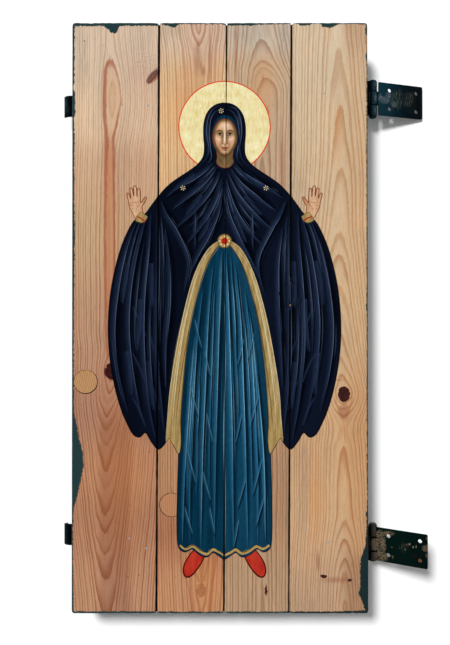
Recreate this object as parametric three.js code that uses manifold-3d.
// An icon panel made from a crate lid: four tongue-and-groove boards nailed to two battens,
// with two rolled-knuckle hinges on the right and two catch strips on the left.
// Millimetres. +X is to the right, -Y is the painted face, +Z is up.
// The origin is the middle of the upper batten's back face.

import * as THREE from 'three';
import { mergeVertices } from 'three/addons/utils/BufferGeometryUtils.js';
import Module from 'manifold-3d';

const wasm = await Module();
wasm.setup();

// Boards, seam to seam, from the left
const boardWidths = [137.5, 108, 104, 124.5];
const boardHeight = 946;
const boardThickness = 20;
const seamGap = 2.6;
const arris = 1.2;

// How much further right the top of an edge or a seam lies than its foot
const leftEdgeLean = 1.2;
const seamLean = 4.4;
const rightEdgeLean = -1.8;

// Tongues and grooves
const tongueThickness = 6;
const tongueReach = 8;
const tongueClearance = 0.3;
const grooveRelief = 1.2;

// Knot plugs, let into the front face
const plugDiameter = 38;
const plugDepth = 6;
const plugClearance = 0.3;
const plugChamfer = 0.6;
const plugSeatShares = [
  { board: 0, across: 0.162, down: 0.608 },
  { board: 1, across: 0.215, down: 0.816 },
  { board: 2, across: 1.01, down: 0.46 },
];

// Battens
const battenHeight = 80;
const battenThickness = 20;
const battenInset = 1.5;
const battenChamfer = 4;
const upperBattenFromTop = 114;
const lowerBattenFromFoot = 109;

// Nails that hold the boards to the battens
const wireNail = {
  headRadius: 4,
  headThickness: 1.2,
  shankRadius: 1.6,
  pointLength: 4,
};
const nailCrownShare = 0.7;
const wireNailHole = 0.3;
const headSink = 0.4;
const shortNailStop = 5;
const battenNailShares = {
  upper: [
    { board: 0, across: 0.574, up: -0.211, through: true },
    { board: 0, across: 0.877, up: -0.231, through: true },
    { board: 1, across: 0.3, up: 0.2, through: false },
    { board: 1, across: 0.72, up: -0.18, through: false },
    { board: 2, across: 0.27, up: 0.19, through: false },
    { board: 2, across: 0.74, up: -0.2, through: false },
    { board: 3, across: 0.16, up: -0.2, through: false },
    { board: 3, across: 0.437, up: 0.011, through: true },
  ],
  lower: [
    { board: 0, across: 0.679, up: 0.139, through: true },
    { board: 0, across: 0.877, up: -0.055, through: true },
    { board: 1, across: 0.28, up: 0.2, through: false },
    { board: 1, across: 0.7, up: -0.21, through: false },
    { board: 2, across: 0.3, up: -0.17, through: false },
    { board: 2, across: 0.72, up: 0.22, through: false },
    { board: 3, across: 0.211, up: 0.309, through: true },
  ],
};

// Hinges: leaf places are measured from the pin's axis
const knuckleRadius = 7;
const leafThickness = 2.5;
const rollSweep = 290;
const pinBeyondEdge = 18;
const leafStart = 7.6;
const leafEnd = 91;
const looseLeafHeight = 55;
const fixedLeafHeight = 57;
const middleKnuckleHeight = 22.5;
const knuckleGap = 0.4;
const leafCornerRadius = 2.5;
const leafHoleRadius = 3.25;
const nearHoleFromPin = 28;
const farHoleFromPin = 79;
const leafHoleSpacing = 31;
const pinClearance = 0.3;
const pinHeadRadius = 6.2;
const pinHeadHeight = 3.2;
const pinBrowShare = 0.55;
const upperHingeAboveBatten = 7;
const lowerHingeAboveBatten = -9.6;
const upperLeafAngle = -17.2;
const lowerLeafAngle = 29.1;

// Nails through the fixed leaves
const leafNail = {
  headRadius: 5.4,
  headThickness: 1.6,
  shankRadius: 2.2,
  pointLength: 5,
};
const leafNailLength = 32;
const leafNailHole = 0.3;

// Broken nail left in the lower loose leaf
const stubClearance = 0.3;
const stubHeadRadius = 5;
const stubHeadThickness = 1.4;

// Catch strips on the left
const catchHeight = 35;
const catchThickness = 2.5;
const catchInboard = 66;
const catchBeyondEdge = 24.5;
const catchCurlRadius = 13;
const catchCornerRadius = 4;
const catchNailFromEdge = 18;
const catchNailPitch = 32;
const catchNailLength = 22;
const upperCatchAboveBatten = -6.6;
const lowerCatchAboveBatten = 4.6;
const upperCurlAngle = 84;
const lowerCurlAngle = 128;

// Making
const overrun = 1;
const weldDistance = 0.001;
const holeSides = 10;
const roundSides = 16;
const plugSides = 32;
const rollSides = 18;
const cornerSides = 3;

const panelWidth = boardWidths.reduce((sum, width) => sum + width, 0);
const leftEdge = -panelWidth / 2;
const rightEdge = panelWidth / 2;
const boardBack = -battenThickness;
const boardFront = boardBack - boardThickness;
const boardTop = upperBattenFromTop;
const boardFoot = boardTop - boardHeight;
const boardMiddle = (boardTop + boardFoot) / 2;
const lowerBattenHeight = boardFoot + lowerBattenFromFoot;
const seams = [leftEdge];
for (const [i, width] of boardWidths.entries()) seams.push(seams[i] + width);

const pine = new THREE.MeshStandardMaterial({ color: 0xc49a70, roughness: 0.72, metalness: 0 });
const plugWood = new THREE.MeshStandardMaterial({ color: 0xc09060, roughness: 0.7, metalness: 0 });
const greenWood = new THREE.MeshStandardMaterial({ color: 0x1c3434, roughness: 0.8, metalness: 0 });
const greenSteel = new THREE.MeshStandardMaterial({ color: 0x0d1f22, roughness: 0.5, metalness: 0.3 });
const nailSteel = new THREE.MeshStandardMaterial({ color: 0x6f6b66, roughness: 0.5, metalness: 0.8 });
const rustedSteel = new THREE.MeshStandardMaterial({ color: 0x8a5230, roughness: 0.9, metalness: 0.2 });

// A closed mesh as a solid that can be joined and cut
function solidOf(geometry) {
  const bare = geometry.clone();
  bare.deleteAttribute('normal');
  bare.deleteAttribute('uv');
  const welded = mergeVertices(bare, weldDistance);
  const index = welded.index.array;
  const corners = [];
  for (let i = 0; i < index.length; i += 3) {
    const [a, b, c] = index.slice(i, i + 3);
    if (a !== b && b !== c && c !== a) corners.push(a, b, c);
  }
  return new wasm.Manifold(new wasm.Mesh({
    numProp: 3,
    vertProperties: Float32Array.from(welded.attributes.position.array),
    triVerts: Uint32Array.from(corners),
  }));
}

// A solid as a geometry that three.js can show
function geometryOf(solid) {
  const mesh = solid.getMesh();
  const geometry = new THREE.BufferGeometry();
  geometry.setAttribute('position', new THREE.BufferAttribute(mesh.vertProperties, 3));
  geometry.setIndex(new THREE.BufferAttribute(mesh.triVerts, 1));
  geometry.computeVertexNormals();
  return geometry;
}

function cut(geometry, cutters) {
  return geometryOf(cutters.reduce((body, cutter) => body.subtract(solidOf(cutter)), solidOf(geometry)));
}

function keepInside(geometry, limit) {
  return geometryOf(solidOf(geometry).intersect(solidOf(limit)));
}

function block(low, high) {
  const size = high.clone().sub(low);
  const middle = high.clone().add(low).multiplyScalar(0.5);
  return new THREE.BoxGeometry(size.x, size.y, size.z).translate(middle.x, middle.y, middle.z);
}

// A round cutter along Y, from one depth to another
function drill(radius, sides, x, z, fromY, toY) {
  return new THREE.CylinderGeometry(radius, radius, toY - fromY, sides)
    .translate(x, (fromY + toY) / 2, z);
}

function extrude(shape, depth, curveSegments) {
  return new THREE.ExtrudeGeometry(shape, { depth, curveSegments, steps: 1, bevelEnabled: false });
}

// A rectangle in the X-Z plane with round corners, run through the depths given
function roundedPlate(lowX, highX, height, radius, fromY, toY) {
  const half = height / 2;
  const quarter = Math.PI / 2;
  const outline = new THREE.Shape();
  outline.absarc(highX - radius, half - radius, radius, 0, quarter);
  outline.absarc(lowX + radius, half - radius, radius, quarter, 2 * quarter);
  outline.absarc(lowX + radius, radius - half, radius, 2 * quarter, 3 * quarter);
  outline.absarc(highX - radius, radius - half, radius, 3 * quarter, 4 * quarter);
  return extrude(outline, toY - fromY, cornerSides).rotateX(quarter).translate(0, toY, 0);
}

// Edges and seams lean a little, each by its own amount; between them the lean is shared out
function leanAt(x) {
  const leans = seams.map(() => seamLean);
  leans[0] = leftEdgeLean;
  leans[leans.length - 1] = rightEdgeLean;
  for (let i = 1; i < seams.length; i += 1) {
    if (x <= seams[i] || i === seams.length - 1) {
      const part = THREE.MathUtils.clamp((x - seams[i - 1]) / (seams[i] - seams[i - 1]), 0, 1);
      return THREE.MathUtils.lerp(leans[i - 1], leans[i], part);
    }
  }
  return rightEdgeLean;
}

function leanPanel(geometry) {
  const places = geometry.attributes.position;
  for (let i = 0; i < places.count; i += 1) {
    const x = places.getX(i);
    places.setX(i, x + leanAt(x) * (places.getZ(i) - boardMiddle) / boardHeight);
  }
  return geometry;
}

// A place on a board, from its left seam and with the seams' lean at that height
function placeAcross(board, share, z) {
  const x = seams[board] + boardWidths[board] * share;
  return x + leanAt(x) * (z - boardMiddle) / boardHeight;
}

// A board's section, seen from above: groove on its left, tongue on its right
function boardSection(board) {
  const last = boardWidths.length - 1;
  const left = board === 0 ? seams[board] : seams[board] + seamGap / 2;
  const right = board === last ? seams[board + 1] : seams[board + 1] - seamGap / 2;
  const core = (boardFront + boardBack) / 2;
  const halfTongue = tongueThickness / 2;
  const halfGroove = halfTongue + tongueClearance;
  const grooveDepth = tongueReach - seamGap + grooveRelief;
  const points = [[left + arris, boardFront], [right - arris, boardFront], [right, boardFront + arris]];
  if (board < last) {
    const tip = right + tongueReach;
    points.push([right, core - halfTongue], [tip, core - halfTongue]);
    points.push([tip, core + halfTongue], [right, core + halfTongue]);
  }
  points.push([right, boardBack - arris], [right - arris, boardBack]);
  points.push([left + arris, boardBack], [left, boardBack - arris]);
  if (board > 0) {
    const bed = left + grooveDepth;
    points.push([left, core + halfGroove], [bed, core + halfGroove]);
    points.push([bed, core - halfGroove], [left, core - halfGroove]);
  }
  points.push([left, boardFront + arris]);
  return new THREE.Shape(points.map(([x, y]) => new THREE.Vector2(x, y)));
}

// Every nail and plug that goes into the boards, with its place
const battens = [
  { name: 'upper', height: 0, nails: battenNailShares.upper },
  { name: 'lower', height: lowerBattenHeight, nails: battenNailShares.lower },
];
const hinges = [
  { name: 'upper', height: upperHingeAboveBatten, swing: upperLeafAngle, longNail: false },
  { name: 'lower', height: lowerBattenHeight + lowerHingeAboveBatten, swing: lowerLeafAngle, longNail: true },
];
const catches = [
  { name: 'upper', height: upperCatchAboveBatten, curl: upperCurlAngle },
  { name: 'lower', height: lowerBattenHeight + lowerCatchAboveBatten, curl: lowerCurlAngle },
];
const pinX = rightEdge + pinBeyondEdge;
const pinY = knuckleRadius;

const battenNails = battens.flatMap(({ name, height, nails }) => nails.map((nail, i) => {
  const z = height + nail.up * battenHeight;
  return {
    name: `${name}_batten_nail_${i + 1}`,
    batten: name,
    x: placeAcross(nail.board, nail.across, z),
    z,
    tip: nail.through ? boardFront : boardFront + shortNailStop,
    blunt: nail.through,
  };
}));

const leafNails = hinges.flatMap(({ name, height, longNail }) => {
  const inward = Math.sign(boardMiddle - height);
  const corners = [
    [nearHoleFromPin, inward],
    [nearHoleFromPin, -inward],
    [farHoleFromPin, inward],
    [farHoleFromPin, -inward],
  ];
  return corners.map(([fromPin, side], i) => {
    const through = longNail && i === 2;
    return {
      name: `${name}_hinge_nail_${i + 1}`,
      batten: name,
      x: pinX - fromPin,
      z: height + side * leafHoleSpacing / 2,
      tip: through ? boardFront : leafThickness - leafNailLength,
      blunt: through,
    };
  });
});

const catchNails = catches.flatMap(({ name, height }) => [0, 1].map((i) => ({
  name: `${name}_catch_nail_${i + 1}`,
  batten: name,
  x: leftEdge + catchNailFromEdge + i * catchNailPitch,
  z: height,
  tip: catchThickness - catchNailLength,
  blunt: false,
})));

const plugs = plugSeatShares.map((seat, i) => {
  const z = boardTop - seat.down * boardHeight;
  return { name: `knot_plug_${i + 1}`, x: placeAcross(seat.board, seat.across, z), z };
});

// Bores and pockets that the nails and plugs leave in the wood
const wireBores = battenNails.map(({ x, z, tip }) => (
  drill(wireNail.shankRadius + wireNailHole, holeSides, x, z, tip - overrun, overrun)));
const leafBores = leafNails.map(({ x, z, tip }) => (
  drill(leafNail.shankRadius + leafNailHole, holeSides, x, z, tip - overrun, overrun)));
const catchBores = catchNails.map(({ x, z, tip }) => (
  drill(wireNail.shankRadius + wireNailHole, holeSides, x, z, tip - overrun, overrun)));
const sinkDepth = wireNail.headThickness + headSink;
const headPockets = battenNails.map(({ x, z }) => (
  drill(wireNail.headRadius + wireNailHole, holeSides, x, z, -sinkDepth, overrun)));
const plugPockets = plugs.map(({ x, z }) => (
  drill(plugDiameter / 2 + plugClearance, plugSides, x, z, boardFront - overrun, boardFront + plugDepth)));

function reaches(nail, low, high, lowZ, highZ) {
  return nail.x > low && nail.x < high && nail.z > lowZ && nail.z < highZ;
}

function board(index) {
  const blank = extrude(boardSection(index), boardHeight, 1).translate(0, 0, boardFoot);
  const within = (nail) => reaches(nail, seams[index] - seamLean, seams[index + 1] + seamLean, boardFoot, boardTop);
  const bores = [
    ...wireBores.filter((_, i) => within(battenNails[i])),
    ...leafBores.filter((_, i) => within(leafNails[i])),
  ];
  return cut(leanPanel(blank), [...bores, ...plugPockets.filter((_, i) => {
    const reach = plugDiameter / 2 + tongueReach;
    return plugs[i].x > seams[index] - reach && plugs[i].x < seams[index + 1] + reach;
  })]);
}

// A turned plug with an eased rim, its face level with the boards
function knotPlug() {
  const radius = plugDiameter / 2;
  const foot = plugDepth - plugClearance;
  const section = [[0, foot], [radius, foot], [radius, plugChamfer], [radius - plugChamfer, 0], [0, 0]];
  return new THREE.LatheGeometry(section.map(([r, y]) => new THREE.Vector2(r, y)).reverse(), plugSides);
}

// A batten's section in Y and Z, run along X; its back edges are chamfered
function batten(name, height) {
  const half = battenHeight / 2;
  const chamfer = battenChamfer;
  const section = new THREE.Shape([
    new THREE.Vector2(-battenThickness, -half),
    new THREE.Vector2(-chamfer, -half),
    new THREE.Vector2(0, chamfer - half),
    new THREE.Vector2(0, half - chamfer),
    new THREE.Vector2(-chamfer, half),
    new THREE.Vector2(-battenThickness, half),
  ]);
  const alongX = new THREE.Matrix4().makeBasis(
    new THREE.Vector3(0, 1, 0),
    new THREE.Vector3(0, 0, 1),
    new THREE.Vector3(1, 0, 0),
  );
  const blank = extrude(section, panelWidth - 2 * battenInset, 1)
    .applyMatrix4(alongX)
    .translate(leftEdge + battenInset, 0, height);
  const own = (nails) => (_, i) => nails[i].batten === name;
  return cut(blank, [
    ...wireBores.filter(own(battenNails)),
    ...headPockets.filter(own(battenNails)),
    ...leafBores.filter(own(leafNails)),
    ...catchBores.filter(own(catchNails)),
  ]);
}

// A round nail along Y: its head's underside is at 0, its shank runs towards -Y
function nail({ headRadius, headThickness, shankRadius, pointLength }, length, blunt) {
  const point = blunt ? 0 : pointLength;
  const section = [
    [0, -length],
    [blunt ? shankRadius : 0, -length],
    [shankRadius, point - length],
    [shankRadius, 0],
    [headRadius, 0],
    [headRadius, headThickness / 2],
    [headRadius * nailCrownShare, headThickness],
    [0, headThickness],
  ].filter(([r, y], i, all) => i === 0 || r !== all[i - 1][0] || y !== all[i - 1][1]);
  return new THREE.LatheGeometry(section.map(([r, y]) => new THREE.Vector2(r, y)), holeSides);
}

// A sheet leaf rolled round the pin. The pin's axis is at 0; the leaf runs to +X with its front
// face tangent to the knuckle's front, and the roll closes behind the pin.
function rolledSheet(height) {
  const inner = knuckleRadius - leafThickness;
  const start = -Math.PI / 2;
  const end = start - THREE.MathUtils.degToRad(rollSweep);
  const section = new THREE.Shape();
  section.moveTo(leafEnd, -knuckleRadius);
  section.lineTo(0, -knuckleRadius);
  section.absarc(0, 0, knuckleRadius, start, end, true);
  section.absarc(0, 0, inner, end, start, false);
  section.lineTo(leafEnd, -inner);
  return extrude(section, height, rollSides).translate(0, 0, -height / 2);
}

function leafHoles() {
  const holes = [];
  for (const fromPin of [nearHoleFromPin, farHoleFromPin]) {
    for (const side of [-1, 1]) {
      const z = side * leafHoleSpacing / 2;
      holes.push(drill(leafHoleRadius, roundSides, fromPin, z, -knuckleRadius - overrun, overrun));
    }
  }
  return holes;
}

// A slot in the knuckle and the leaf beside it, between two heights
function knuckleSlot(lowZ, highZ) {
  const reach = knuckleRadius + overrun;
  return block(new THREE.Vector3(-reach, -reach, lowZ), new THREE.Vector3(leafStart, reach, highZ));
}

function leaf(height, slots) {
  const back = knuckleRadius + overrun;
  const outline = roundedPlate(-back - leafCornerRadius, leafEnd, height, leafCornerRadius, -back, back);
  return cut(keepInside(rolledSheet(height), outline), [...slots, ...leafHoles()]);
}

function looseLeaf() {
  const half = middleKnuckleHeight / 2;
  const past = looseLeafHeight / 2 + overrun;
  return leaf(looseLeafHeight, [knuckleSlot(half, past), knuckleSlot(-past, -half)]);
}

function fixedLeaf() {
  const half = middleKnuckleHeight / 2 + knuckleGap;
  return leaf(fixedLeafHeight, [knuckleSlot(-half, half)]).rotateY(Math.PI);
}

// A pin along Z with a peened head at each end
function hingePin() {
  const radius = knuckleRadius - leafThickness - pinClearance;
  const seat = fixedLeafHeight / 2 + pinClearance;
  const crown = seat + pinHeadHeight;
  const shoulder = seat + pinHeadHeight / 2;
  const brow = pinHeadRadius * pinBrowShare;
  const half = [[radius, seat], [pinHeadRadius, seat], [pinHeadRadius, shoulder], [brow, crown], [0, crown]];
  const mirrored = half.map(([r, z]) => [r, -z]).reverse();
  const section = [...mirrored, ...half].map(([r, z]) => new THREE.Vector2(r, z));
  return new THREE.LatheGeometry(section, roundSides).rotateX(Math.PI / 2);
}

// What is left of a nail in a loose leaf's hole, in the leaf's own frame
function nailStub() {
  const radius = leafHoleRadius - stubClearance;
  const back = leafThickness + stubClearance;
  const section = [
    [0, stubClearance],
    [radius, stubClearance],
    [radius, back],
    [stubHeadRadius, back],
    [stubHeadRadius, back + stubHeadThickness / 2],
    [radius, back + stubHeadThickness],
    [0, back + stubHeadThickness],
  ];
  return new THREE.LatheGeometry(section.map(([r, y]) => new THREE.Vector2(r, y)), roundSides)
    .translate(0, -knuckleRadius, 0);
}

// A catch strip: flat on the batten, then past the panel's edge and curled back
function catchStrip(curl, height) {
  const inner = catchCurlRadius - catchThickness;
  const bendX = leftEdge - catchBeyondEdge + catchCurlRadius;
  const start = -Math.PI / 2;
  const end = start - THREE.MathUtils.degToRad(curl);
  const inboard = leftEdge + catchInboard;
  const section = new THREE.Shape();
  section.moveTo(inboard, 0);
  section.lineTo(bendX, 0);
  section.absarc(bendX, catchCurlRadius, catchCurlRadius, start, end, true);
  section.absarc(bendX, catchCurlRadius, inner, end, start, false);
  section.lineTo(inboard, catchThickness);
  const strip = extrude(section, catchHeight, rollSides / 2).translate(0, 0, -catchHeight / 2);
  const outline = roundedPlate(
    leftEdge - catchBeyondEdge - overrun - catchCornerRadius,
    inboard,
    catchHeight,
    catchCornerRadius,
    -overrun,
    2 * catchCurlRadius + overrun,
  );
  const holes = [0, 1].map((i) => {
    const x = leftEdge + catchNailFromEdge + i * catchNailPitch;
    return drill(wireNail.shankRadius + wireNailHole, holeSides, x, 0, -overrun, catchThickness + overrun);
  });
  return cut(keepInside(strip, outline), holes).translate(0, 0, height);
}

const icon = new THREE.Group();

function place(parent, name, geometry, material, x = 0, y = 0, z = 0) {
  const piece = new THREE.Mesh(geometry, material);
  piece.name = name;
  piece.position.set(x, y, z);
  parent.add(piece);
  return piece;
}

boardWidths.forEach((_, i) => place(icon, `board_${i + 1}`, board(i), pine));
for (const { name, x, z } of plugs) place(icon, name, knotPlug(), plugWood, x, boardFront, z);
for (const { name, height } of battens) place(icon, `${name}_batten`, batten(name, height), greenWood);
for (const { name, x, z, tip, blunt } of battenNails) {
  place(icon, name, nail(wireNail, -sinkDepth - tip, blunt), nailSteel, x, -sinkDepth, z);
}
for (const { name, height, swing } of hinges) {
  const hinge = new THREE.Group();
  hinge.position.set(pinX, pinY, height);
  place(hinge, `${name}_fixed_leaf`, fixedLeaf(), greenSteel);
  place(hinge, `${name}_hinge_pin`, hingePin(), greenSteel);
  const swung = new THREE.Group();
  swung.rotation.z = THREE.MathUtils.degToRad(-swing);
  place(swung, `${name}_loose_leaf`, looseLeaf(), greenSteel);
  if (name === 'lower') {
    place(swung, 'rusted_nail_stub', nailStub(), rustedSteel, farHoleFromPin, 0, -leafHoleSpacing / 2);
  }
  hinge.add(swung);
  icon.add(hinge);
}
for (const { name, x, z, tip, blunt } of leafNails) {
  place(icon, name, nail(leafNail, leafThickness - tip, blunt), nailSteel, x, leafThickness, z);
}
for (const { name, height, curl } of catches) {
  place(icon, `${name}_catch_strip`, catchStrip(curl, height), greenSteel);
}
for (const { name, x, z } of catchNails) {
  place(icon, name, nail(wireNail, catchNailLength, false), nailSteel, x, catchThickness, z);
}

export default icon;
